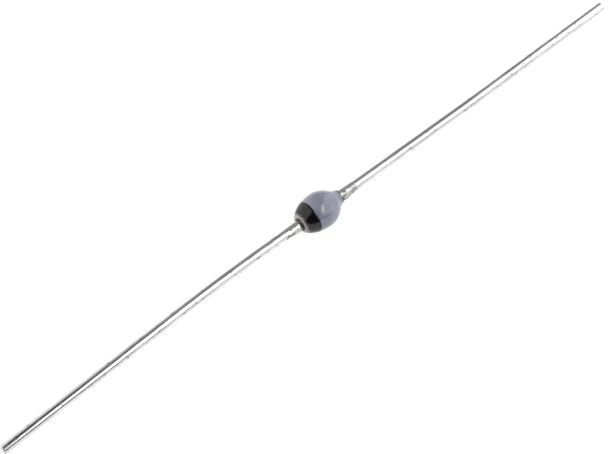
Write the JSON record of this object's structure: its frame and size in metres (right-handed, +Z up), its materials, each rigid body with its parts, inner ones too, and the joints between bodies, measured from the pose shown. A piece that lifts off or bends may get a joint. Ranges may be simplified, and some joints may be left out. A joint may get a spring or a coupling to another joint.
{
  "type": "axial rectifier diode",
  "caption": "Axial-lead rectifier diode: a lemon-shaped bead of grey glass with a painted cathode band, sealed round a chip between metal studs, with a tinned wire lead soldered to each stud.",
  "frame": {"origin": "middle of the chip on the diode's axis, which is the middle of the part's box", "axes": "X along the diode, with the banded cathode end at -X and the anode at +X; +Z up as it lies on its bead"},
  "size_m": [0.062, 0.003, 0.003],
  "materials": {
    "bead_glass": "opaque grey sintered glass, smooth and glossy",
    "band_paint": "thick black paint, half gloss, ragged at its outer edge",
    "chip_silicon": "sawn and etched silicon",
    "bond_metal": "plain",
    "stud_metal": "turned, slightly stained",
    "solder": "lumpy, dull with bright spots",
    "tinned_wire": "bright tin over soft copper wire, with faint drawing marks"
  },
  "bodies": {
    "root": {"glass_bead": "bead_glass", "cathode_band": "band_paint", "silicon_chip": "chip_silicon", "cathode_bond": "bond_metal", "anode_bond": "bond_metal", "cathode_stud": "stud_metal", "anode_stud": "stud_metal", "cathode_solder": "solder", "anode_solder": "solder", "cathode_lead": "tinned_wire", "anode_lead": "tinned_wire"}
  },
  "joints": []
}
